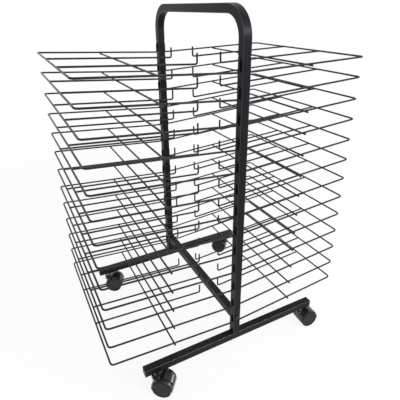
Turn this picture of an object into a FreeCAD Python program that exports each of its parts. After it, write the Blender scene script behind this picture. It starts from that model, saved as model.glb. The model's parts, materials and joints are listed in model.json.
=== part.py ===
import FreeCAD
import Part
import math
import os

Vector = FreeCAD.Vector
X_AXIS = Vector(1, 0, 0)
Y_AXIS = Vector(0, 1, 0)
Z_AXIS = Vector(0, 0, 1)

# Millimetres. X runs along the feet, Y along the handle, Z up from the floor.
# The origin is on the floor, in the middle of the rack.

# Square tube of the feet, uprights, crossbar and handle
tube_side = 20.0
tube_wall = 1.2
tube_corner = 1.4             # outside corner radius
slip_clearance = 0.1          # each side, where one tube or plug slips into another

# Shelves: bent wire grids that hang on the uprights, left and right
shelf_count = 13
shelf_pitch = 55.0
first_shelf_height = 115.0    # the lowest shelf, carried on to the rack's centre plane
shelf_depth = 440.0           # between the two side wires, and between the uprights
shelf_reach = 339.0           # from the rack's centre plane to the outer wire
shelf_rise = 23.0             # how far a shelf climbs from the centre to its outer wire
flatter_shelves = {           # rise of the shelves that lie flatter than the rest
    "left_shelf_13": 18.0,
    "right_shelf_11": 19.5,
    "right_shelf_12": 17.5,
    "right_shelf_13": 10.0,
}
wire_size = 4.0               # across the flats of the wire
wire_flats = 6
outer_bend = 8.0              # bend radii are to the middle of the wire
riser_bend = 5.0
hook_bend = 2.6
hook_height = 24.0            # shelf line to the middle of the hook's top
hook_throat = 2.4             # between the two legs of the hook
lip_length = 4.5              # turned-down end of the hook, inside the upright
post_gap = 0.3                # wire to upright, at the riser and on the slot's edge
stop_position = 31.0          # paper stops: upturned ends of the two inner wires
stop_height = 25.0
inner_wire_offset = 73.3
cross_wire_position = 178.0
cross_wire_overhang = 4.0     # past the side wires
weld_sink = 0.4               # crossed wires sink into each other at the weld

# Slots that the hooks hang in
slot_width = 5.0
slot_height = 7.5

# Uprights and handle
seam_margin = 3.8             # top slot to the seam between upright and handle
neck_length = 30.0            # reduced end of the upright, inside the handle
neck_taper = 3.0
handle_height = 97.0          # seam to the top of the handle
handle_bend = 56.0            # to the middle of the tube
handle_screw_height = 16.0    # above the seam

# Feet and crossbar
foot_length = 526.0           # over the end caps
foot_underside = 63.0
cap_flange = 2.5
cap_plug_length = 14.0
crossbar_height = 138.0       # floor to the middle of the crossbar
insert_length = 15.0

# Screws: shank radius, head radius, head height
foot_bolt = (3.0, 5.5, 3.0)
bar_screw = (2.5, 4.5, 2.2)
handle_screw = (2.0, 3.8, 1.8)
bolt_hole_clearance = 0.3
thread_clearance = 0.05

# Twin-wheel casters
wheel_diameter = 50.0
wheel_width = 16.0
caster_width = 48.0           # over the two wheels
caster_trail = 22.0           # swivel axis to axle
caster_inset = 28.0           # end of the foot to the swivel axis
hood_gap = 1.6                # tread to the inside of the hood
hood_wall = 1.8
hood_setback = 2.0            # wheel's face to the lip of the hood
hood_skirt = 4.0              # how far the hood reaches below the axle
hood_shoulder = (4.0, 1.0)    # along the axle and inwards, where the hood draws in at its lips
web_thickness = 8.0
hub_radius = 8.0
boss_radius = 10.0
boss_neck_radius = 7.0
boss_top = 50.5
stem_radius = 5.0
stem_foot = 33.0              # lower end of the stem, floor to metal
stem_collar_flats = 14.0
stem_collar_height = 6.0
stem_thread_radius = 4.0
stem_thread_length = 13.0
weld_nut_size = 13.0
weld_nut_height = 7.0
wheel_edge = 1.0              # bevel between tread and face
wheel_rim = 4.0               # flat ring round the dished face
wheel_dish = 0.6
axle_radius = 3.0
running_clearance = 0.05
end_float = 0.3

# Brake lever on two of the casters
lever_width = 22.0
lever_thickness = 2.5
lever_gap = 0.6               # lever to hood when pressed down
lever_pin_angle = 78.0        # from the horizontal, seen from the axle
lever_pad_angle = 69.0        # upper end of the pad, which is let into the hood
lever_pad_rise = 1.2          # pad above the hood when pressed down
lever_pad_sink = 0.5          # pad's underside above the inside of the hood
lever_toe_angle = 26.0
lever_toe_length = 3.4
lever_open_angle = 6.0
lever_pin_radius = 1.6
lever_overlap = 3.0           # degrees that the bridge to the pin laps over the pad
window_margin = 1.5           # degrees past the pad's upper end
window_clearance = 0.6        # beside the pad
ear_rim = 2.0                 # round the pin
ear_thickness = 2.5
shoe_angles = (42.0, 56.0)
shoe_width = 18.0
shoe_gap = 0.3                # shoe to tread when pressed down
shoe_margin = 4.0             # degrees of free window at each end of the shoe

# Yaw of each caster: direction from swivel axis to axle, from +X
caster_yaws = {
    "front_left": -40.0,
    "front_right": -5.0,
    "rear_left": -28.0,
    "rear_right": 140.0,
}
braked_casters = ("front_left", "rear_right")

# Worked out from the sizes above
half_tube = tube_side / 2
tube_bore = tube_side - 2 * tube_wall
plug_side = tube_bore - 2 * slip_clearance
post_y = shelf_depth / 2
foot_top = foot_underside + tube_side
top_shelf_height = first_shelf_height + (shelf_count - 1) * shelf_pitch
riser_x = half_tube + post_gap + wire_size / 2
slot_bottom = hook_height - wire_size / 2 - post_gap
seam_height = top_shelf_height + slot_bottom + slot_height + seam_margin
neck_side = plug_side
wheel_radius = wheel_diameter / 2
wheel_inner_face = caster_width / 2 - wheel_width
hood_inner_radius = wheel_radius + hood_gap
hood_outer_radius = hood_inner_radius + hood_wall
caster_x = foot_length / 2 - caster_inset


# Plain shapes

def rounded_square(side, corner):
    half = side / 2
    inner = half - corner
    diagonal = corner * math.sqrt(0.5)
    edges = []
    for quarter in range(4):
        turn = FreeCAD.Rotation(Z_AXIS, 90 * quarter)
        start = turn.multVec(Vector(half, -inner, 0))
        end = turn.multVec(Vector(half, inner, 0))
        middle = turn.multVec(Vector(inner + diagonal, inner + diagonal, 0))
        after = turn.multVec(Vector(inner, half, 0))
        edges.append(Part.LineSegment(start, end).toShape())
        edges.append(Part.Arc(end, middle, after).toShape())
    return Part.Wire(edges)


def square(side):
    half = side / 2
    return Part.makePolygon([Vector(half, -half, 0), Vector(half, half, 0), Vector(-half, half, 0),
                             Vector(-half, -half, 0), Vector(half, -half, 0)])


def tube_outlines():
    return rounded_square(tube_side, tube_corner), square(tube_bore)


def extrude_outline(outline, length):
    return Part.Face(outline).extrude(Z_AXIS * length)


def straight_tube(length):
    outer, inner = tube_outlines()
    return extrude_outline(outer, length).cut(extrude_outline(inner, length))


def laid_along(shape, axis, start):
    placed = shape.copy()
    placed.Placement = FreeCAD.Placement(start, FreeCAD.Rotation(Z_AXIS, axis)).multiply(placed.Placement)
    return placed


def rod(radius, start, axis, length):
    return Part.makeCylinder(radius, length, start, axis)


def block(low, high):
    size = high - low
    return Part.makeBox(size.x, size.y, size.z, low)


def screw(sizes, seat, axis, length):
    shank_radius, head_radius, head_height = sizes
    head = rod(head_radius, seat - axis * head_height, axis, head_height)
    return head.fuse(rod(shank_radius, seat, axis, length)).removeSplitter()


def compound(shapes):
    return Part.makeCompound(shapes)


# Wire work

def ease_corners(points, radii):
    """Each bend becomes two shallow mitres that touch its arc."""
    eased = [points[0]]
    for before, corner, after, radius in zip(points, points[1:], points[2:], radii):
        to_before = (before - corner).normalize()
        to_after = (after - corner).normalize()
        turn = math.pi - to_before.getAngle(to_after)
        setback = radius * (math.tan(turn / 2) - math.tan(turn / 4))
        eased.append(corner + to_before * setback)
        eased.append(corner + to_after * setback)
    eased.append(points[-1])
    return eased


def wire_section(centre, across, up):
    radius = wire_size / 2 / math.cos(math.pi / wire_flats)
    corners = []
    for index in range(wire_flats + 1):
        angle = (index + 0.5) * 2 * math.pi / wire_flats
        corners.append(centre + across * (radius * math.cos(angle)) + up * (radius * math.sin(angle)))
    return Part.makePolygon(corners)


def bent_wire(points, across, up):
    spine = Part.makePolygon(points)
    section = wire_section(points[0], across, up)
    right_corners = 1
    return spine.makePipeShell([section], True, False, right_corners)


def frame_wire(line_height):
    lip_x = riser_x - wire_size - hook_throat
    half_path = [
        Vector(lip_x, 0, hook_height - lip_length),
        Vector(lip_x, 0, hook_height),
        Vector(riser_x, 0, hook_height),
        Vector(riser_x, 0, line_height(riser_x)),
        Vector(shelf_reach, 0, line_height(shelf_reach)),
    ]
    front = [point + Vector(0, -post_y, 0) for point in half_path]
    rear = [point + Vector(0, post_y, 0) for point in reversed(half_path)]
    bends = [hook_bend, hook_bend, riser_bend, outer_bend]
    path = ease_corners(front + rear, bends + bends[::-1])
    return bent_wire(path, X_AXIS, Y_AXIS)


def stop_wire(y, line_height):
    foot = line_height(stop_position)
    path = [
        Vector(stop_position, y, foot + stop_height),
        Vector(stop_position, y, foot),
        Vector(shelf_reach, y, line_height(shelf_reach)),
    ]
    return bent_wire(ease_corners(path, [riser_bend]), X_AXIS, Y_AXIS)


def cross_wire(line_height):
    drop = wire_size - weld_sink
    end = post_y + cross_wire_overhang
    slope = Vector(shelf_reach, 0, line_height(shelf_reach)).normalize()
    below = Vector(slope.z, 0, -slope.x)
    start = Vector(cross_wire_position, -end, line_height(cross_wire_position)) + below * drop
    return Part.Face(wire_section(start, below, slope)).extrude(Y_AXIS * (2 * end))


def make_shelf(rise):
    def line_height(x):
        return rise * x / shelf_reach

    frame = frame_wire(line_height)
    stops = [stop_wire(side * inner_wire_offset, line_height) for side in (-1, 1)]
    return frame.fuse(stops + [cross_wire(line_height)])


# Frame

def shelf_levels():
    return [first_shelf_height + index * shelf_pitch for index in range(shelf_count)]


def make_upright(side):
    outer, inner = tube_outlines()
    neck_outer = rounded_square(neck_side, tube_corner - tube_wall)
    neck_inner = square(neck_side - 2 * tube_wall)
    body = straight_tube(seam_height - neck_taper - foot_top)
    taper_base = Vector(0, 0, seam_height - neck_taper - foot_top)
    taper_rise = Vector(0, 0, neck_taper)

    def shoulder(low, high):
        low = low.copy()
        high = high.copy()
        low.translate(taper_base)
        high.translate(taper_base + taper_rise)
        return Part.makeLoft([low, high], True, True)

    taper = shoulder(outer, neck_outer).cut(shoulder(inner, neck_inner))
    neck = extrude_outline(neck_outer, neck_length).cut(extrude_outline(neck_inner, neck_length))
    neck.translate(taper_base + taper_rise)
    upright = body.fuse([taper, neck])
    upright.translate(Vector(0, side * post_y, foot_top))

    slots = []
    for level in shelf_levels():
        low = Vector(-tube_side, side * post_y - slot_width / 2, level + slot_bottom)
        slots.append(block(low, low + Vector(2 * tube_side, slot_width, slot_height)))
    screw_hole = rod(bar_screw[0] + bolt_hole_clearance,
                     Vector(0, side * (post_y - tube_side), crossbar_height), Y_AXIS * side, 2 * tube_side)
    pilot = rod(handle_screw[0] + thread_clearance,
                Vector(0, side * post_y, seam_height + handle_screw_height), X_AXIS, tube_side)
    return upright.cut(slots + [screw_hole, pilot])


def make_handle():
    outer, inner = tube_outlines()
    start = Vector(0, -post_y, seam_height)
    centre_top = seam_height + handle_height - half_tube
    bend_height = centre_top - handle_bend
    bend_y = post_y - handle_bend
    reach = handle_bend * math.sqrt(0.5)
    first_leg = Part.LineSegment(start, Vector(0, -post_y, bend_height)).toShape()
    first_bend = Part.Arc(Vector(0, -post_y, bend_height),
                          Vector(0, -bend_y - reach, bend_height + reach),
                          Vector(0, -bend_y, centre_top)).toShape()
    bar = Part.LineSegment(Vector(0, -bend_y, centre_top), Vector(0, bend_y, centre_top)).toShape()
    second_bend = Part.Arc(Vector(0, bend_y, centre_top),
                           Vector(0, bend_y + reach, bend_height + reach),
                           Vector(0, post_y, bend_height)).toShape()
    second_leg = Part.LineSegment(Vector(0, post_y, bend_height), Vector(0, post_y, seam_height)).toShape()
    spine = Part.Wire([first_leg, first_bend, bar, second_bend, second_leg])
    swept = []
    for outline in (outer, inner):
        section = outline.copy()
        section.translate(start)
        swept.append(spine.makePipeShell([section], True, False))
    handle = swept[0].cut(swept[1])
    holes = []
    for side in (-1, 1):
        seat = Vector(0, side * post_y, seam_height + handle_screw_height)
        holes.append(rod(handle_screw[0] + bolt_hole_clearance, seat, X_AXIS, tube_side))
    return handle.cut(holes)


def make_foot_bar(side):
    length = foot_length - 2 * cap_flange
    tube = straight_tube(length)
    centre = foot_underside + half_tube
    bar = laid_along(tube, X_AXIS, Vector(-length / 2, side * post_y, centre))
    nuts = []
    holes = []
    for end in (-1, 1):
        nut_low = Vector(end * caster_x - weld_nut_size / 2, side * post_y - weld_nut_size / 2,
                         foot_underside + tube_wall)
        nuts.append(block(nut_low, nut_low + Vector(weld_nut_size, weld_nut_size, weld_nut_height)))
        hole_start = Vector(end * caster_x, side * post_y, foot_underside)
        holes.append(rod(stem_thread_radius + thread_clearance, hole_start, Z_AXIS, half_tube))
    holes.append(rod(foot_bolt[0] + bolt_hole_clearance, Vector(0, side * post_y, foot_underside),
                     Z_AXIS, tube_side))
    return bar.fuse(nuts).cut(holes)


def make_crossbar():
    length = shelf_depth - tube_side
    return laid_along(straight_tube(length), Y_AXIS, Vector(0, -length / 2, crossbar_height))


def threaded_insert(seat, axis, hole_radius):
    plug = laid_along(extrude_outline(square(plug_side), insert_length), axis, seat)
    return plug.cut(rod(hole_radius + thread_clearance, seat, axis, insert_length))


def make_threaded_inserts():
    inserts = []
    for side in (-1, 1):
        inserts.append(threaded_insert(Vector(0, side * post_y, foot_top), Z_AXIS, foot_bolt[0]))
        inserts.append(threaded_insert(Vector(0, side * (post_y - half_tube), crossbar_height),
                                       Y_AXIS * -side, bar_screw[0]))
    return compound(inserts)


def make_end_caps():
    caps = []
    centre = foot_underside + half_tube
    for side in (-1, 1):
        for end in (-1, 1):
            inward = X_AXIS * -end
            face = Vector(end * foot_length / 2, side * post_y, centre)
            flange = extrude_outline(rounded_square(tube_side, tube_corner), cap_flange)
            plug = extrude_outline(square(plug_side), cap_plug_length)
            plug.translate(Z_AXIS * cap_flange)
            caps.append(laid_along(flange.fuse(plug), inward, face))
    return compound(caps)


def make_foot_bolts():
    length = tube_side + insert_length
    bolts = [screw(foot_bolt, Vector(0, side * post_y, foot_underside), Z_AXIS, length) for side in (-1, 1)]
    return compound(bolts)


def make_crossbar_screws():
    length = tube_side + insert_length
    screws = []
    for side in (-1, 1):
        seat = Vector(0, side * (post_y + half_tube), crossbar_height)
        screws.append(screw(bar_screw, seat, Y_AXIS * -side, length))
    return compound(screws)


def make_handle_screws():
    screws = []
    for side in (-1, 1):
        seat = Vector(half_tube, side * post_y, seam_height + handle_screw_height)
        screws.append(screw(handle_screw, seat, X_AXIS * -1, tube_wall * 4))
    return compound(screws)


# Casters, drawn with the swivel axis on Z and the axle towards +X

axle_centre = Vector(caster_trail, 0, wheel_radius)


def about_axle(radius, half_width):
    return rod(radius, axle_centre - Y_AXIS * half_width, Y_AXIS, 2 * half_width)


def shouldered_drum(radius, half_width):
    along, inwards = hood_shoulder
    drum = about_axle(radius, half_width - along)
    ends = []
    for side in (-1, 1):
        start = axle_centre + Y_AXIS * (side * (half_width - along))
        ends.append(Part.makeCone(radius, radius - inwards, along, start, Y_AXIS * side))
    return drum.fuse(ends)


def hood_sector(low_angle, high_angle, inner_radius, outer_radius, width):
    """A slice of a ring about the axle, between two angles above the horizontal."""
    def at(radius, angle):
        radians = math.radians(angle)
        return Vector(caster_trail + radius * math.cos(radians), -width / 2,
                      wheel_radius + radius * math.sin(radians))

    middle = (low_angle + high_angle) / 2
    outer = Part.Arc(at(outer_radius, low_angle), at(outer_radius, middle), at(outer_radius, high_angle))
    inner = Part.Arc(at(inner_radius, high_angle), at(inner_radius, middle), at(inner_radius, low_angle))
    edges = [
        outer.toShape(),
        Part.LineSegment(at(outer_radius, high_angle), at(inner_radius, high_angle)).toShape(),
        inner.toShape(),
        Part.LineSegment(at(inner_radius, low_angle), at(outer_radius, low_angle)).toShape(),
    ]
    return Part.Face(Part.Wire(edges)).extrude(Y_AXIS * width)


def lever_pin_centre():
    radius = hood_outer_radius + lever_gap + lever_thickness / 2
    angle = math.radians(lever_pin_angle)
    return axle_centre + Vector(radius * math.cos(angle), 0, radius * math.sin(angle))


def brake_ears():
    centre = lever_pin_centre()
    span = lever_width / 2 + end_float
    ear_radius = lever_pin_radius + ear_rim
    ears = []
    for side in (-1, 1):
        low_face = centre + Y_AXIS * (side * span)
        pad = rod(ear_radius, low_face, Y_AXIS * side, ear_thickness)
        leg_low = Vector(centre.x - ear_radius, 0, centre.z - lever_thickness - hood_wall / 2)
        leg = block(leg_low, Vector(centre.x + ear_radius, ear_thickness, centre.z))
        leg.translate(Vector(0, span if side > 0 else -span - ear_thickness, 0))
        hole = rod(lever_pin_radius + running_clearance, low_face, Y_AXIS * side, ear_thickness)
        ears.append(pad.fuse(leg).cut(hole))
    return ears


def brake_windows():
    low_angle, high_angle = shoe_angles
    shoe_window = hood_sector(low_angle - shoe_margin, high_angle + shoe_margin, wheel_radius - hood_wall,
                              hood_outer_radius, shoe_width + 2 * window_clearance)
    pad_window = hood_sector(lever_toe_angle - shoe_margin, lever_pad_angle + window_margin,
                             hood_inner_radius, hood_outer_radius + hood_wall,
                             lever_width + 2 * window_clearance)
    return [shoe_window, pad_window]


def make_hood(braked):
    lip = caster_width / 2 - hood_setback
    shell = shouldered_drum(hood_outer_radius, lip).cut(about_axle(hood_inner_radius, lip))
    web = about_axle(hood_inner_radius + hood_wall / 2, web_thickness / 2)
    skirt = block(Vector(-caster_width, -caster_width, -wheel_diameter),
                  Vector(2 * caster_width, caster_width, wheel_radius - hood_skirt))
    hub = about_axle(hub_radius, web_thickness / 2)
    wheel_room = [
        rod(hood_inner_radius, axle_centre + Y_AXIS * boss_neck_radius, Y_AXIS, caster_width),
        rod(hood_inner_radius, axle_centre - Y_AXIS * boss_neck_radius, Y_AXIS * -1, caster_width),
    ]
    cup_floor = stem_foot - end_float
    neck_bottom = cup_floor - tube_wall
    boss = rod(boss_radius, Vector(0, 0, boss_top - boss_radius), Z_AXIS, boss_radius).cut(wheel_room)
    boss_neck = rod(boss_neck_radius, Vector(0, 0, neck_bottom), Z_AXIS, boss_top - neck_bottom)
    hood = shell.fuse(web).cut(skirt).fuse([hub, boss, boss_neck])
    if braked:
        hood = hood.fuse(brake_ears())
        hood = hood.cut(brake_windows())
    stem_cup = rod(stem_radius + running_clearance, Vector(0, 0, cup_floor), Z_AXIS, boss_top)
    axle_bore = about_axle(axle_radius, web_thickness)
    return hood.cut([stem_cup, axle_bore]).removeSplitter()


def make_stem():
    shank = rod(stem_radius, Vector(0, 0, stem_foot), Z_AXIS, foot_underside - stem_collar_height - stem_foot)
    corner = stem_collar_flats / 2 / math.cos(math.pi / 6)
    outline = [Vector(corner * math.cos(math.pi / 3 * index), corner * math.sin(math.pi / 3 * index),
                      foot_underside - stem_collar_height) for index in range(7)]
    collar = Part.Face(Part.makePolygon(outline)).extrude(Z_AXIS * stem_collar_height)
    thread = rod(stem_thread_radius, Vector(0, 0, foot_underside), Z_AXIS, stem_thread_length)
    return collar.fuse([shank, thread])


def make_axle():
    half_length = caster_width / 2 - wheel_dish - axle_radius
    return about_axle(axle_radius, half_length)


def make_wheel(side):
    bore = axle_radius + running_clearance
    hub_face = web_thickness / 2 + end_float
    outer_face = wheel_inner_face + wheel_width
    blind_end = caster_width / 2 - wheel_dish - axle_radius + end_float
    outline = [
        (bore, hub_face),
        (hub_radius, hub_face),
        (hub_radius, wheel_inner_face),
        (wheel_radius, wheel_inner_face),
        (wheel_radius, outer_face - wheel_edge),
        (wheel_radius - wheel_edge, outer_face),
        (wheel_radius - wheel_rim, outer_face),
        (wheel_radius - wheel_rim, outer_face - wheel_dish),
        (0, outer_face - wheel_dish),
        (0, blind_end),
        (bore, blind_end),
        (bore, hub_face),
    ]
    points = [axle_centre + Vector(radius, side * along, 0) for radius, along in outline]
    face = Part.Face(Part.makePolygon(points))
    return face.revolve(axle_centre, Y_AXIS, 360)


def make_brake_lever():
    bridge_low = hood_outer_radius + lever_gap
    bridge = hood_sector(lever_pad_angle - lever_overlap, lever_pin_angle, bridge_low,
                         bridge_low + lever_thickness, lever_width)
    pad_low = hood_inner_radius + lever_pad_sink
    pad = hood_sector(lever_toe_angle, lever_pad_angle, pad_low, hood_outer_radius + lever_pad_rise,
                      lever_width)
    radians = math.radians(lever_toe_angle)
    toe_root = axle_centre + Vector(pad_low * math.cos(radians), 0, pad_low * math.sin(radians))
    toe = block(Vector(0, -lever_width / 2, 0), Vector(lever_toe_length, lever_width / 2, lever_thickness))
    toe.rotate(Vector(0, 0, 0), Y_AXIS, -lever_toe_angle)
    toe.translate(toe_root)
    centre = lever_pin_centre()
    half_span = lever_width / 2 + end_float + ear_thickness
    pin = rod(lever_pin_radius, centre - Y_AXIS * half_span, Y_AXIS, 2 * half_span)
    shoe = hood_sector(shoe_angles[0], shoe_angles[1], wheel_radius + shoe_gap, pad_low + lever_thickness / 2,
                       shoe_width)
    lever = pad.fuse([bridge, toe, pin, shoe]).removeSplitter()
    lever.rotate(centre, Y_AXIS, -lever_open_angle)
    return lever


def caster_places():
    places = {}
    for name, yaw in caster_yaws.items():
        x = caster_x if name.endswith("right") else -caster_x
        y = post_y if name.startswith("rear") else -post_y
        places[name] = FreeCAD.Placement(Vector(x, y, 0), FreeCAD.Rotation(Z_AXIS, yaw))
    return places


def placed_copy(shape, placement):
    moved = shape.copy()
    moved.Placement = placement.multiply(moved.Placement)
    return moved


# The whole rack, node by node

def build_nodes():
    nodes = {}
    for name, side in (("front", -1), ("rear", 1)):
        nodes[name + "_foot_bar"] = make_foot_bar(side)
        nodes[name + "_upright"] = make_upright(side)
    nodes["crossbar"] = make_crossbar()
    nodes["handle"] = make_handle()
    nodes["foot_end_caps"] = make_end_caps()
    nodes["threaded_inserts"] = make_threaded_inserts()
    nodes["foot_bolts"] = make_foot_bolts()
    nodes["crossbar_screws"] = make_crossbar_screws()
    nodes["handle_screws"] = make_handle_screws()

    shelf = make_shelf(shelf_rise)
    for index, level in enumerate(shelf_levels()):
        for side in ("right", "left"):
            name = "%s_shelf_%02d" % (side, index + 1)
            shape = make_shelf(flatter_shelves[name]) if name in flatter_shelves else shelf
            hung = shape.translated(Vector(0, 0, level))
            nodes[name] = hung if side == "right" else hung.mirror(Vector(0, 0, 0), X_AXIS)

    stem = make_stem()
    axle = make_axle()
    wheels = {"near": make_wheel(-1), "far": make_wheel(1)}
    for name, place in caster_places().items():
        braked = name in braked_casters
        nodes[name + "_caster_stem"] = placed_copy(stem, place)
        nodes[name + "_caster_hood"] = placed_copy(make_hood(braked), place)
        nodes[name + "_caster_axle"] = placed_copy(axle, place)
        for wheel_name, wheel in wheels.items():
            nodes[name + "_" + wheel_name + "_wheel"] = placed_copy(wheel, place)
        if braked:
            nodes[name + "_brake_lever"] = placed_copy(make_brake_lever(), place)
    return nodes


def export_nodes(nodes):
    os.makedirs("parts", exist_ok=True)
    for name, shape in nodes.items():
        solids = shape.Solids
        if not solids or not shape.isValid():
            raise ValueError("node %s is not a valid solid" % name)
        shape.exportStep(os.path.join("parts", name + ".step"))
        volume = sum(solid.Volume for solid in solids)
        print("%-28s %2d solid(s) %12.1f mm3" % (name, len(solids), volume))


export_nodes(build_nodes())
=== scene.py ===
import json
import math

import bmesh
import bpy
from mathutils import Matrix, Vector

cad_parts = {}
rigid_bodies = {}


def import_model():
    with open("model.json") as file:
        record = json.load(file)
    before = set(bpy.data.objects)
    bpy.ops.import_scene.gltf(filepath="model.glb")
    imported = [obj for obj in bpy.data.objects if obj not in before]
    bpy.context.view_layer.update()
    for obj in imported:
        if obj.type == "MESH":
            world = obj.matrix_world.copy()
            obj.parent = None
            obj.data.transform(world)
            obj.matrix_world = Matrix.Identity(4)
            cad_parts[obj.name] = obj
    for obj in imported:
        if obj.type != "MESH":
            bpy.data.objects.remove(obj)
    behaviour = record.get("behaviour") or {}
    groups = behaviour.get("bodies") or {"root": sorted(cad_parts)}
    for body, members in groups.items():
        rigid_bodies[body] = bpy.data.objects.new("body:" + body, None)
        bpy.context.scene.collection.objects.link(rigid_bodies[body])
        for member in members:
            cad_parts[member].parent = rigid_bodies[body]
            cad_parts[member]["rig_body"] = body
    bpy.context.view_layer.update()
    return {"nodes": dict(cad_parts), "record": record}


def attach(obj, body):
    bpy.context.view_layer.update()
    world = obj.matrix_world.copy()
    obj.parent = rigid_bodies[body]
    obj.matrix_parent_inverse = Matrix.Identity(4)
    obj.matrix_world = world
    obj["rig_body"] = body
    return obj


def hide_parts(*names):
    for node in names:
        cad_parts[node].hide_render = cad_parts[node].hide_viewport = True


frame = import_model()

scene = bpy.context.scene
scene.view_settings.view_transform = "Standard"
mm = 0.001

cameraSetup = {
    "place": (-0.4451, -0.87865, 0.9003),
    "yaw": 27.382,            # degrees from +Y towards +X
    "pitchDown": 23.889,
    "roll": -0.547,
    "lens": 34.48,
    "sensor": 36.0,
    "shift": (0.0016, -0.0627),
    "clip": (0.05, 100),
}


def makeCamera(setup):
    yaw, pitch, roll = (math.radians(setup[k]) for k in ("yaw", "pitchDown", "roll"))
    level = math.cos(pitch)
    forward = Vector((math.sin(yaw) * level, math.cos(yaw) * level, -math.sin(pitch)))
    levelRight = Vector((math.cos(yaw), -math.sin(yaw), 0))
    levelUp = levelRight.cross(forward)
    right = levelRight * math.cos(roll) + levelUp * math.sin(roll)
    up = levelUp * math.cos(roll) - levelRight * math.sin(roll)
    turn = Matrix((right, up, -forward)).transposed().to_4x4()
    data = bpy.data.cameras.new("camera")
    data.lens, data.sensor_width = setup["lens"], setup["sensor"]
    data.shift_x, data.shift_y = setup["shift"]
    data.clip_start, data.clip_end = setup["clip"]
    camera = bpy.data.objects.new("camera", data)
    scene.collection.objects.link(camera)
    camera.matrix_world = Matrix.Translation(setup["place"]) @ turn
    scene.camera = camera


makeCamera(cameraSetup)
print("camera placed")


def addNode(tree, kind, **settings):
    node = tree.nodes.new(kind)
    for name, value in settings.items():
        setattr(node, name, value)
    return node


def feed(tree, socket, value):
    # a number or colour is typed into the socket, an output is wired to it
    if isinstance(value, bpy.types.NodeSocket):
        tree.links.new(value, socket)
    elif isinstance(value, (tuple, list)) and len(value) == 3 and socket.type == "RGBA":
        socket.default_value = (*value, 1)
    elif value is not None:
        socket.default_value = value


def mathNode(tree, operation, *values, clamp=False):
    node = addNode(tree, "ShaderNodeMath", operation=operation, use_clamp=clamp)
    for socket, value in zip(node.inputs, values):
        feed(tree, socket, value)
    return node.outputs[0]


def spreadNode(tree, value, low, high, toLow=0.0, toHigh=1.0):
    node = addNode(tree, "ShaderNodeMapRange", interpolation_type="SMOOTHSTEP")
    settings = {"Value": value, "From Min": low, "From Max": high, "To Min": toLow, "To Max": toHigh}
    for name, setting in settings.items():
        feed(tree, node.inputs[name], setting)
    return node.outputs[0]


studio = {
    "fill": 0.52,             # what the white room gives to matt surfaces
    "lamps": [                # place, width and height, watts
        ((0.9, -2.0, 1.6), (1.4, 0.6), 40),
        ((2.1, -0.6, 0.6), (0.7, 0.7), 9),
        ((-2.0, -1.0, 1.6), (1.5, 1.5), 14),
        ((0.3, 1.8, 2.4), (1.4, 1.4), 10),
    ],
    "aim": (0, 0, 0.42),
    "floorSize": 60.0,
    "floorColour": (0.92, 0.92, 0.92),
    "floorRough": 0.9,
    "floorWhite": 0.88,       # share of plain white in the floor seen near the rack
    "fadeFrom": 0.8,          # metres from the middle, where the floor starts to melt into white
    "fadeTo": 2.6,
}


def whiteForEyes(tree):
    # 1 for what the camera, a mirror or a clear piece sees, 0 for what lights the rack
    path = addNode(tree, "ShaderNodeLightPath")
    seen = mathNode(tree, "MAXIMUM", path.outputs["Is Camera Ray"], path.outputs["Is Glossy Ray"])
    return mathNode(tree, "MAXIMUM", seen, path.outputs["Is Transmission Ray"])


def mixShaders(tree, factor, a, b, out):
    mix = addNode(tree, "ShaderNodeMixShader")
    for socket, value in zip(mix.inputs, (factor, a.outputs[0], b.outputs[0])):
        feed(tree, socket, value)
    tree.links.new(mix.outputs[0], out.inputs[0])


def makeRoom(setup):
    world = bpy.data.worlds.new("studio")
    scene.world = world
    world.use_nodes = True
    tree = world.node_tree
    tree.nodes.clear()
    fill = addNode(tree, "ShaderNodeBackground")
    feed(tree, fill.inputs["Color"], (1, 1, 1))
    feed(tree, fill.inputs["Strength"], setup["fill"])
    white = addNode(tree, "ShaderNodeBackground")
    feed(tree, white.inputs["Color"], (1, 1, 1))
    mixShaders(tree, whiteForEyes(tree), fill, white, addNode(tree, "ShaderNodeOutputWorld"))


def hangLamps(setup):
    for number, (place, size, watts) in enumerate(setup["lamps"]):
        data = bpy.data.lights.new(f"softbox{number}", "AREA")
        data.shape, data.energy = "RECTANGLE", watts
        data.size, data.size_y = size
        lamp = bpy.data.objects.new(f"softbox{number}", data)
        scene.collection.objects.link(lamp)
        aim = Vector(setup["aim"]) - Vector(place)
        lamp.matrix_world = Matrix.Translation(place) @ aim.to_track_quat("-Z", "Y").to_matrix().to_4x4()


def layFloor(setup):
    half = setup["floorSize"] / 2
    corners = [(-half, -half, 0), (half, -half, 0), (half, half, 0), (-half, half, 0)]
    mesh = bpy.data.meshes.new("floor")
    mesh.from_pydata(corners, [], [(0, 1, 2, 3)])
    floor = bpy.data.objects.new("floor", mesh)
    scene.collection.objects.link(floor)
    paper = bpy.data.materials.new("palePaperFloor")
    paper.use_nodes = True
    tree = paper.node_tree
    tree.nodes.clear()
    matt = addNode(tree, "ShaderNodeBsdfPrincipled")
    feed(tree, matt.inputs["Base Color"], setup["floorColour"])
    feed(tree, matt.inputs["Roughness"], setup["floorRough"])
    feed(tree, matt.inputs["Specular IOR Level"], 0.0)
    place = addNode(tree, "ShaderNodeTexCoord")
    away = addNode(tree, "ShaderNodeVectorMath", operation="LENGTH")
    tree.links.new(place.outputs["Object"], away.inputs[0])
    fade = spreadNode(tree, away.outputs["Value"], setup["fadeFrom"], setup["fadeTo"],
                      toLow=setup["floorWhite"])
    share = mathNode(tree, "MULTIPLY", whiteForEyes(tree), fade)
    glow = addNode(tree, "ShaderNodeEmission")
    mixShaders(tree, share, matt, glow, addNode(tree, "ShaderNodeOutputMaterial"))
    mesh.materials.append(paper)


makeRoom(studio)
hangLamps(studio)
layFloor(studio)
print("studio lit")


# Effects that several finishes share: each gives only what changes over a surface.

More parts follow.
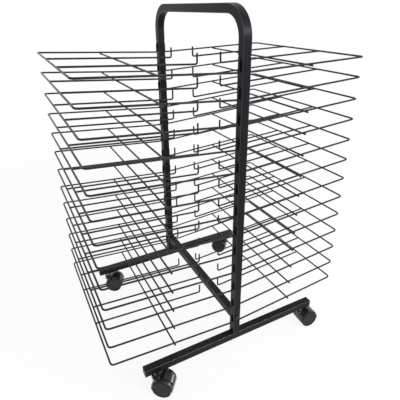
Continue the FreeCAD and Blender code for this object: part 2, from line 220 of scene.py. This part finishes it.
def newGroup(name, inputs, outputs):
    tree = bpy.data.node_groups.new(name, "ShaderNodeTree")
    for way, sockets in (("INPUT", inputs), ("OUTPUT", outputs)):
        for label, kind in sockets.items():
            tree.interface.new_socket(label, in_out=way, socket_type="NodeSocket" + kind)
    return tree, tree.nodes.new("NodeGroupInput").outputs, tree.nodes.new("NodeGroupOutput").inputs


def noiseNode(tree, vector, scale, detail, roughness):
    noise = addNode(tree, "ShaderNodeTexNoise")
    for name, value in (("Vector", vector), ("Scale", scale), ("Detail", detail), ("Roughness", roughness)):
        feed(tree, noise.inputs[name], value)
    return noise.outputs["Fac"]


def mixColour(tree, factor, a, b):
    node = addNode(tree, "ShaderNodeMix", data_type="RGBA")
    for socket, value in ((node.inputs[0], factor), (node.inputs[6], a), (node.inputs[7], b)):
        feed(tree, socket, value)
    return node.outputs[2]


def mixNumber(tree, factor, a, b):
    node = addNode(tree, "ShaderNodeMix", data_type="FLOAT")
    for socket, value in zip(node.inputs[:4], (factor, None, a, b)):
        feed(tree, socket, value)
    return node.outputs[0]


grainPattern = {              # scale, detail and roughness of each noise
    "broad": (11.0, 3.0, 0.6),
    "mid": (95.0, 3.0, 0.55),
    "skin": (2.0, 0.5),       # its scale comes with the finish
    "midHeight": 0.35,        # share of the mid noise in the bump
}


def makeCoatGrain(pattern):
    # broad clouding of the colour, mid-sized patches of gloss, and a fine skin for the bump
    tree, given, made = newGroup(
        "coatGrain",
        {"Vector": "Vector", "Colour": "Color", "Clouding": "Float", "Roughness": "Float",
         "Patchiness": "Float", "Skin Scale": "Float"},
        {"Colour": "Color", "Roughness": "Float", "Height": "Float"})
    broad = noiseNode(tree, given["Vector"], *pattern["broad"])
    mid = noiseNode(tree, given["Vector"], *pattern["mid"])
    skin = noiseNode(tree, given["Vector"], given["Skin Scale"], *pattern["skin"])
    both = mathNode(tree, "ADD", broad, mid)
    swing = mathNode(tree, "MULTIPLY", mathNode(tree, "SUBTRACT", both, 1.0), given["Clouding"])
    gain = mathNode(tree, "ADD", swing, 1.0)
    scaled = addNode(tree, "ShaderNodeVectorMath", operation="SCALE")
    feed(tree, scaled.inputs[0], given["Colour"])
    feed(tree, scaled.inputs["Scale"], gain)
    tree.links.new(scaled.outputs[0], made["Colour"])
    shift = mathNode(tree, "MULTIPLY", mathNode(tree, "SUBTRACT", mid, 0.5), given["Patchiness"])
    tree.links.new(mathNode(tree, "ADD", given["Roughness"], shift, clamp=True), made["Roughness"])
    ripple = mathNode(tree, "MULTIPLY", mid, pattern["midHeight"])
    tree.links.new(mathNode(tree, "ADD", skin, ripple), made["Height"])
    return tree


edgePattern = {
    "samples": 6,
    "turn": (0.01, 0.16),     # how far the rounded normal leaves the flat one, from none to full
    "patch": (4.0, 0.65),     # detail and roughness of the patches
    "patchRange": (0.38, 0.62),
}


def makeWornAndHighlitEdge(pattern):
    # 1 along outer edges, broken up by patches; the finishes lay a lighter colour there, which is worn
    # paint and a painted highlight along the edges
    tree, given, made = newGroup(
        "wornAndHighlitEdge", {"Vector": "Vector", "Width": "Float", "Patch Scale": "Float", "Amount": "Float"},
        {"Mask": "Float"})
    rounded = addNode(tree, "ShaderNodeBevel", samples=pattern["samples"])
    feed(tree, rounded.inputs["Radius"], given["Width"])
    shape = addNode(tree, "ShaderNodeNewGeometry")
    along = addNode(tree, "ShaderNodeVectorMath", operation="DOT_PRODUCT")
    feed(tree, along.inputs[0], rounded.outputs[0])
    feed(tree, along.inputs[1], shape.outputs["Normal"])
    edge = spreadNode(tree, mathNode(tree, "SUBTRACT", 1.0, along.outputs["Value"]), *pattern["turn"])
    noise = noiseNode(tree, given["Vector"], given["Patch Scale"], *pattern["patch"])
    wornAndHighlit = mathNode(tree, "MULTIPLY", edge, spreadNode(tree, noise, *pattern["patchRange"]))
    tree.links.new(mathNode(tree, "MULTIPLY", wornAndHighlit, given["Amount"]), made["Mask"])
    return tree


dustPattern = {
    "upward": (0.2, 0.95, 0.25, 1.0),       # normal's Z from and to, dust there from and to
    "specks": (260.0, 5.0, 0.7),            # scale, detail and roughness
    "speckRange": (0.5, 0.78),
}


def makeSettledDust(pattern):
    # more on faces that look up
    tree, given, made = newGroup("settledDust", {"Vector": "Vector", "Amount": "Float"}, {"Mask": "Float"})
    shape = addNode(tree, "ShaderNodeNewGeometry")
    split = addNode(tree, "ShaderNodeSeparateXYZ")
    feed(tree, split.inputs[0], shape.outputs["Normal"])
    up = spreadNode(tree, split.outputs["Z"], *pattern["upward"])
    specks = spreadNode(tree, noiseNode(tree, given["Vector"], *pattern["specks"]), *pattern["speckRange"])
    lying = mathNode(tree, "MULTIPLY", up, specks)
    tree.links.new(mathNode(tree, "MULTIPLY", lying, given["Amount"]), made["Mask"])
    return tree


cornerTurn = (0.01, 0.10)     # how far a face leaves the nearest flat side, from none to full


def makeTubeCorner(turn):
    # 1 where a square tube turns from one flat side to the next
    # above Bend Height a bend counts as a flat side
    tree, given, made = newGroup(
        "tubeCorner", {"Vector": "Vector", "Normal": "Vector", "Bend Height": "Float"}, {"Mask": "Float"})
    sides = addNode(tree, "ShaderNodeSeparateXYZ")
    feed(tree, sides.inputs[0], given["Normal"])
    x, y, z = (mathNode(tree, "ABSOLUTE", side) for side in sides.outputs)
    place = addNode(tree, "ShaderNodeSeparateXYZ")
    feed(tree, place.inputs[0], given["Vector"])
    bent = mathNode(tree, "SQRT", mathNode(tree, "SUBTRACT", 1.0, mathNode(tree, "MULTIPLY", x, x)))
    straight = mathNode(tree, "MAXIMUM", y, z)
    high = mathNode(tree, "GREATER_THAN", place.outputs["Z"], given["Bend Height"])
    squarest = mathNode(tree, "MAXIMUM", x, mixNumber(tree, high, straight, bent))
    tree.links.new(spreadNode(tree, mathNode(tree, "SUBTRACT", 1.0, squarest), *turn), made["Mask"])
    return tree


effects = {
    "grain": makeCoatGrain(grainPattern),
    "edge": makeWornAndHighlitEdge(edgePattern),
    "dust": makeSettledDust(dustPattern),
    "corner": makeTubeCorner(cornerTurn),
}

# each finish's lighter edge colour stands for worn paint along outer edges and a painted highlight there
finishes = {
    "frame_tube": {           # satin black powder coat
        "name": "blackPowderCoat", "colour": (0.0066, 0.0052, 0.0086), "clouding": 0.35,
        "rough": 0.38, "patchy": 0.14, "skinScale": 850.0, "bump": 0.04, "bumpDepth": 0.00006,
        "specular": 0.12, "coat": 0.0, "cornerCoat": 1.0, "coatRough": 0.22,
        "edgeWearAndHighlightColour": (0.090, 0.087, 0.094), "edgeWidth": 0.0012, "edgeAmount": 0.6, "edgePatch": 45.0,
        "edgeRough": 0.30, "dust": 0.05,
    },
    "shelf_wire": {
        "name": "blackCoatedWire", "colour": (0.0075, 0.0070, 0.0082), "clouding": 0.30,
        "rough": 0.34, "patchy": 0.16, "skinScale": 1400.0, "bump": 0.12, "bumpDepth": 0.00005,
        "specular": 0.20, "coat": 0.0, "cornerCoat": 0.0, "coatRough": 0.25,
        "edgeWearAndHighlightColour": (0.050, 0.048, 0.050), "edgeWidth": 0.0006, "edgeAmount": 0.4, "edgePatch": 80.0,
        "edgeRough": 0.30, "dust": 0.04,
    },
    "bright_steel": {
        "name": "zincPlatedSteel", "colour": (0.27, 0.27, 0.28), "clouding": 0.18, "metallic": 1.0,
        "rough": 0.38, "patchy": 0.20, "skinScale": 1800.0, "bump": 0.08, "bumpDepth": 0.00003,
        "specular": 0.5, "coat": 0.0, "cornerCoat": 0.0, "coatRough": 0.2,
        "edgeWearAndHighlightColour": (0.42, 0.42, 0.42), "edgeWidth": 0.0005, "edgeAmount": 0.5, "edgePatch": 200.0,
        "edgeRough": 0.28, "dust": 0.06,
    },
    "caster_plastic": {
        "name": "mouldedHoodPlastic", "colour": (0.0100, 0.0095, 0.0108), "clouding": 0.22,
        "rough": 0.20, "patchy": 0.10, "skinScale": 1500.0, "bump": 0.10, "bumpDepth": 0.00004,
        "specular": 0.38, "coat": 0.3, "cornerCoat": 0.0, "coatRough": 0.09,
        "edgeWearAndHighlightColour": (0.085, 0.083, 0.086), "edgeWidth": 0.0010, "edgeAmount": 0.5, "edgePatch": 120.0,
        "edgeRough": 0.26, "dust": 0.16,
    },
    "wheel_plastic": {
        "name": "darkTreadPlastic", "colour": (0.0190, 0.0160, 0.0185), "clouding": 0.25,
        "rough": 0.48, "patchy": 0.16, "skinScale": 1300.0, "bump": 0.14, "bumpDepth": 0.00006,
        "specular": 0.16, "coat": 0.0, "cornerCoat": 0.0, "coatRough": 0.35,
        "edgeWearAndHighlightColour": (0.080, 0.075, 0.078), "edgeWidth": 0.0012, "edgeAmount": 0.45, "edgePatch": 90.0,
        "edgeRough": 0.5, "dust": 0.22,
    },
    "lever_plastic": {
        "name": "brakeLeverPlastic", "colour": (0.013, 0.0125, 0.0138), "clouding": 0.2,
        "rough": 0.24, "patchy": 0.12, "skinScale": 1500.0, "bump": 0.10, "bumpDepth": 0.00004,
        "specular": 0.5, "coat": 0.5, "cornerCoat": 0.0, "coatRough": 0.14,
        "edgeWearAndHighlightColour": (0.09, 0.088, 0.09), "edgeWidth": 0.0008, "edgeAmount": 0.5, "edgePatch": 120.0,
        "edgeRough": 0.3, "dust": 0.14,
    },
    "cap_plastic": {
        "name": "endCapPlastic", "colour": (0.0080, 0.0076, 0.0092), "clouding": 0.2,
        "rough": 0.42, "patchy": 0.12, "skinScale": 1400.0, "bump": 0.12, "bumpDepth": 0.00005,
        "specular": 0.2, "coat": 0.0, "cornerCoat": 0.6, "coatRough": 0.28,
        "edgeWearAndHighlightColour": (0.065, 0.063, 0.066), "edgeWidth": 0.0010, "edgeAmount": 0.5, "edgePatch": 120.0,
        "edgeRough": 0.38, "dust": 0.04,
    },
    "black_screws": {
        "name": "blackedScrewSteel", "colour": (0.026, 0.026, 0.028), "clouding": 0.25, "metallic": 0.4,
        "rough": 0.36, "patchy": 0.18, "skinScale": 2200.0, "bump": 0.10, "bumpDepth": 0.00003,
        "specular": 0.5, "coat": 0.0, "cornerCoat": 0.0, "coatRough": 0.2,
        "edgeWearAndHighlightColour": (0.14, 0.14, 0.14), "edgeWidth": 0.0004, "edgeAmount": 0.6, "edgePatch": 240.0,
        "edgeRough": 0.28, "dust": 0.06,
    },
    "insert_steel": {
        "name": "plainInsertSteel", "colour": (0.42, 0.42, 0.41), "clouding": 0.2, "metallic": 1.0,
        "rough": 0.38, "patchy": 0.2, "skinScale": 1800.0, "bump": 0.08, "bumpDepth": 0.00003,
        "specular": 0.5, "coat": 0.0, "cornerCoat": 0.0, "coatRough": 0.2,
        "edgeWearAndHighlightColour": (0.55, 0.55, 0.54), "edgeWidth": 0.0005, "edgeAmount": 0.5, "edgePatch": 200.0,
        "edgeRough": 0.3, "dust": 0.04,
    },
}
handleSeam = 0.808            # metres, where the bent handle starts
dustColour = (0.16, 0.155, 0.15)
dustRough = 0.85


def useGroup(tree, group, **values):
    node = addNode(tree, "ShaderNodeGroup")
    node.node_tree = group
    for label, value in values.items():
        feed(tree, node.inputs[label.replace("_", " ")], value)
    return node.outputs


def makeFinish(look):
    material = bpy.data.materials.new(look["name"])
    material.use_nodes = True
    tree = material.node_tree
    tree.nodes.clear()
    where = addNode(tree, "ShaderNodeTexCoord").outputs
    place = where["Object"]
    grain = useGroup(tree, effects["grain"], Vector=place, Colour=look["colour"], Clouding=look["clouding"],
                     Roughness=look["rough"], Patchiness=look["patchy"], Skin_Scale=look["skinScale"])
    edge = useGroup(tree, effects["edge"], Vector=place, Width=look["edgeWidth"],
                    Patch_Scale=look["edgePatch"], Amount=look["edgeAmount"])["Mask"]
    dust = useGroup(tree, effects["dust"], Vector=place, Amount=look["dust"])["Mask"]
    # lighter colour along outer edges: worn paint and a painted highlight
    colour = mixColour(tree, edge, grain["Colour"], look["edgeWearAndHighlightColour"])
    colour = mixColour(tree, dust, colour, dustColour)
    rough = mixNumber(tree, edge, grain["Roughness"], look["edgeRough"])
    rough = mixNumber(tree, dust, rough, dustRough)
    skin = addNode(tree, "ShaderNodeBump")
    feed(tree, skin.inputs["Strength"], look["bump"])
    feed(tree, skin.inputs["Distance"], look["bumpDepth"])
    feed(tree, skin.inputs["Height"], grain["Height"])
    shader = addNode(tree, "ShaderNodeBsdfPrincipled")
    feed(tree, shader.inputs["Base Color"], colour)
    feed(tree, shader.inputs["Roughness"], rough)
    feed(tree, shader.inputs["Metallic"], look.get("metallic", 0.0))
    feed(tree, shader.inputs["Specular IOR Level"], look["specular"])
    feed(tree, shader.inputs["Coat Roughness"], look["coatRough"])
    corner = useGroup(tree, effects["corner"], Vector=place, Normal=where["Normal"],
                      Bend_Height=handleSeam)["Mask"]
    coat = mathNode(tree, "MULTIPLY_ADD", corner, look["cornerCoat"], look["coat"], clamp=True)
    feed(tree, shader.inputs["Coat Weight"], coat)
    feed(tree, shader.inputs["Normal"], skin.outputs[0])
    tree.links.new(shader.outputs[0], addNode(tree, "ShaderNodeOutputMaterial").inputs[0])
    return material


finish = {slot: makeFinish(look) for slot, look in finishes.items()}
slotOf = {part["node"]: part["material_slot"] for part in frame["record"]["subparts"]}
for name, node in frame["nodes"].items():
    for holder in node.material_slots:
        holder.material = finish[slotOf[name]]
print("finishes mixed:", len(finish))


# The shelves: bent wire, each drawn as its middle line with the radius of every bend.

shelf = {
    "count": 13, "pitch": 55.0, "first": 115.0,      # mm, as all lengths here
    "reach": 339.0, "rise": 23.0,
    "flatter": {              # rise of the four that hang flatter
        "left_shelf_13": 18.0, "right_shelf_11": 19.5, "right_shelf_12": 17.5, "right_shelf_13": 10.0,
    },
    "side": 220.0,            # frame wires run at this Y
    "hookX": 5.9, "lipTop": 19.5, "hookTop": 24.0, "riserX": 12.3,
    "hookBend": 2.6, "riserBend": 5.0, "cornerBend": 8.0,
    "stopX": 31.0, "stopY": 73.3, "stopTop": 25.0,
    "crossX": 178.0, "crossDrop": 3.6, "crossEnd": 224.0,
    "wire": 4.4, "bendSteps": 6, "roundSteps": 16,
    "bead": 2.7, "beadInset": 1.1, "seed": 7,
}


def shelfLines(size, plane, rise, hand):
    def at(x, y, up=None):
        lift = rise * x / size["reach"]
        return Vector((hand * x, y, plane + (lift if up is None else up))) * mm

    def bent(*corners):
        return [(point, bend * mm) for point, bend in corners]

    y = size["side"]

    def hook(end):
        return [(at(size["hookX"], end, size["lipTop"]), 0),
                (at(size["hookX"], end, size["hookTop"]), size["hookBend"]),
                (at(size["riserX"], end, size["hookTop"]), size["hookBend"]),
                (at(size["riserX"], end), size["riserBend"]),
                (at(size["reach"], end), size["cornerBend"])]

    lines = [bent(*hook(-y), *reversed(hook(y)))]
    beads = []
    slope = math.atan2(rise, size["reach"])
    drop = Vector((hand * math.sin(slope), 0, -math.cos(slope))) * size["crossDrop"] * mm
    cross = at(size["crossX"], 0) + drop
    for stop in (-size["stopY"], size["stopY"]):
        foot = at(size["stopX"], stop)
        tip = foot + Vector((0, 0, size["stopTop"] * mm))
        lines.append(bent((tip, 0), (foot, size["riserBend"]), (at(size["reach"], stop), 0)))
        beads.append(at(size["reach"] - size["beadInset"], stop))
        beads.append(at(size["crossX"], stop) + drop / 2)
    half = Vector((0, size["crossEnd"] * mm, 0))
    lines.append([(cross - half, 0), (cross + half, 0)])
    beads += [at(size["crossX"], end) + drop / 2 for end in (-y, y)]
    return lines, beads


beadShape = {
    "subdivisions": 2,
    "scale": ((0.9, 0.9, 0.8), (1.2, 1.2, 1.0)),          # least and most, drawn for each bead
    "turn": ((-0.3, -0.3, 0.0), (0.3, 0.3, 6.28)),        # radians
}
wireCrease = math.radians(50)                             # edges steeper than this stay sharp


def makeWireTree(shape, crease):
    tree = bpy.data.node_groups.new("weldedWireShelf", "GeometryNodeTree")
    inputs = {"Geometry": "Geometry", "Wire Diameter": "Float", "Bend Steps": "Int", "Round Steps": "Int",
              "Bead Radius": "Float", "Seed": "Int", "Finish": "Material"}
    sockets = {}
    for label, kind in inputs.items():
        socket = tree.interface.new_socket(label, in_out="INPUT", socket_type="NodeSocket" + kind)
        sockets[label] = socket.identifier
    tree.interface.new_socket("Geometry", in_out="OUTPUT", socket_type="NodeSocketGeometry")
    given = tree.nodes.new("NodeGroupInput").outputs
    made = tree.nodes.new("NodeGroupOutput").inputs

    def named(label, kind):
        node = addNode(tree, "GeometryNodeInputNamedAttribute", data_type=kind)
        feed(tree, node.inputs["Name"], label)
        return node.outputs["Attribute"]

    line = addNode(tree, "GeometryNodeMeshToCurve")
    feed(tree, line.inputs["Mesh"], given["Geometry"])
    bends = addNode(tree, "GeometryNodeFilletCurve", mode="POLY")
    feed(tree, bends.inputs["Curve"], line.outputs[0])
    feed(tree, bends.inputs["Count"], given["Bend Steps"])
    feed(tree, bends.inputs["Radius"], named("bend", "FLOAT"))
    ring = addNode(tree, "GeometryNodeCurvePrimitiveCircle")
    feed(tree, ring.inputs["Resolution"], given["Round Steps"])
    feed(tree, ring.inputs["Radius"], mathNode(tree, "MULTIPLY", given["Wire Diameter"], 0.5))
    tube = addNode(tree, "GeometryNodeCurveToMesh")
    feed(tree, tube.inputs["Curve"], bends.outputs[0])
    feed(tree, tube.inputs["Profile Curve"], ring.outputs[0])
    feed(tree, tube.inputs["Fill Caps"], True)

    spots = addNode(tree, "GeometryNodeMeshToPoints")
    feed(tree, spots.inputs["Mesh"], given["Geometry"])
    feed(tree, spots.inputs["Selection"], named("weld", "BOOLEAN"))
    bead = addNode(tree, "GeometryNodeMeshIcoSphere")
    feed(tree, bead.inputs["Radius"], given["Bead Radius"])
    feed(tree, bead.inputs["Subdivisions"], shape["subdivisions"])
    place = addNode(tree, "GeometryNodeInstanceOnPoints")
    feed(tree, place.inputs["Points"], spots.outputs[0])
    feed(tree, place.inputs["Instance"], bead.outputs["Mesh"])
    for label, (low, high) in (("Scale", shape["scale"]), ("Rotation", shape["turn"])):
        chance = addNode(tree, "FunctionNodeRandomValue", data_type="FLOAT_VECTOR")
        feed(tree, chance.inputs[0], low)
        feed(tree, chance.inputs[1], high)
        feed(tree, chance.inputs["Seed"], given["Seed"])
        tree.links.new(chance.outputs[0], place.inputs[label])

    join = addNode(tree, "GeometryNodeJoinGeometry")
    tree.links.new(tube.outputs[0], join.inputs[0])
    tree.links.new(place.outputs[0], join.inputs[0])
    real = addNode(tree, "GeometryNodeRealizeInstances")
    tree.links.new(join.outputs[0], real.inputs[0])
    smooth = addNode(tree, "GeometryNodeSetShadeSmooth")
    tree.links.new(real.outputs[0], smooth.inputs[0])
    sharp = addNode(tree, "GeometryNodeSetShadeSmooth", domain="EDGE")
    angle = addNode(tree, "GeometryNodeInputMeshEdgeAngle")
    steep = addNode(tree, "FunctionNodeCompare", data_type="FLOAT", operation="GREATER_THAN")
    feed(tree, steep.inputs[0], angle.outputs[0])
    feed(tree, steep.inputs[1], crease)
    tree.links.new(smooth.outputs[0], sharp.inputs[0])
    feed(tree, sharp.inputs["Selection"], steep.outputs[0])
    feed(tree, sharp.inputs["Shade Smooth"], False)
    paint = addNode(tree, "GeometryNodeSetMaterial")
    tree.links.new(sharp.outputs[0], paint.inputs["Geometry"])
    tree.links.new(given["Finish"], paint.inputs["Material"])
    tree.links.new(paint.outputs[0], made["Geometry"])
    return tree, sockets


wireTree, wireSockets = makeWireTree(beadShape, wireCrease)


def makeShelf(size, number, hand):
    name = f"{'left' if hand < 0 else 'right'}_shelf_{number:02d}"
    plane = size["first"] + size["pitch"] * (number - 1)
    rise = size["flatter"].get(name, size["rise"])
    lines, beads = shelfLines(size, plane, rise, hand)
    points, edges, bends, welds = [], [], [], []
    for line in lines:
        first = len(points)
        points += [point for point, bend in line]
        bends += [bend for point, bend in line]
        welds += [False] * len(line)
        edges += [(first + i, first + i + 1) for i in range(len(line) - 1)]
    points += beads
    bends += [0.0] * len(beads)
    welds += [True] * len(beads)
    mesh = bpy.data.meshes.new(name + "_lines")
    mesh.from_pydata(points, edges, [])
    mesh.attributes.new("bend", "FLOAT", "POINT").data.foreach_set("value", bends)
    mesh.attributes.new("weld", "BOOLEAN", "POINT").data.foreach_set("value", welds)
    draft = bpy.data.objects.new(name + "_draft", mesh)
    scene.collection.objects.link(draft)
    change = draft.modifiers.new("wires", "NODES")
    change.node_group = wireTree
    for label, value in (("Wire Diameter", size["wire"] * mm), ("Bend Steps", size["bendSteps"]),
                         ("Round Steps", size["roundSteps"]), ("Bead Radius", size["bead"] * mm),
                         ("Seed", size["seed"] + number), ("Finish", finish["shelf_wire"])):
        change[wireSockets[label]] = value
    graph = bpy.context.evaluated_depsgraph_get()
    wires = bpy.data.meshes.new_from_object(draft.evaluated_get(graph))
    draft.modifiers.clear()
    bpy.data.objects.remove(draft)
    wires.name = name + "_wires"
    piece = bpy.data.objects.new(name + "_wires", wires)
    scene.collection.objects.link(piece)
    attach(piece, name)
    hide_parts(name)


for number in range(1, shelf["count"] + 1):
    for hand in (-1, 1):
        makeShelf(shelf, number, hand)
print("shelves bent and welded:", 2 * shelf["count"])


# The other pieces keep the frame's shapes, with their doubles merged and their round faces smooth.

smoothing = {
    "mergeWithin": 0.000004,               # metres
    "flatWithin": math.radians(0.4),       # faces closer than this in angle become one
    "sharpFrom": math.radians(38.0),
}


def smoothCopy(name, limits):
    node = frame["nodes"][name]
    work = bmesh.new()
    work.from_mesh(node.data)
    bmesh.ops.remove_doubles(work, verts=work.verts, dist=limits["mergeWithin"])
    bmesh.ops.dissolve_limit(work, angle_limit=limits["flatWithin"], verts=work.verts, edges=work.edges)
    for face in work.faces:
        face.smooth = True
    for edge in work.edges:
        edge.smooth = len(edge.link_faces) == 2 and edge.calc_face_angle(0) < limits["sharpFrom"]
    mesh = bpy.data.meshes.new(name + "_shape")
    work.to_mesh(mesh)
    work.free()
    mesh.materials.append(finish[slotOf[name]])
    piece = bpy.data.objects.new(name + "_shape", mesh)
    scene.collection.objects.link(piece)
    even = piece.modifiers.new("normals", "WEIGHTED_NORMAL")
    even.keep_sharp = True
    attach(piece, node["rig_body"])
    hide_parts(name)


# the threaded inserts stay as they are, because nothing shows them
for name in frame["nodes"]:
    if "_shelf_" not in name and name != "threaded_inserts":
        smoothCopy(name, smoothing)
print("pieces smoothed")
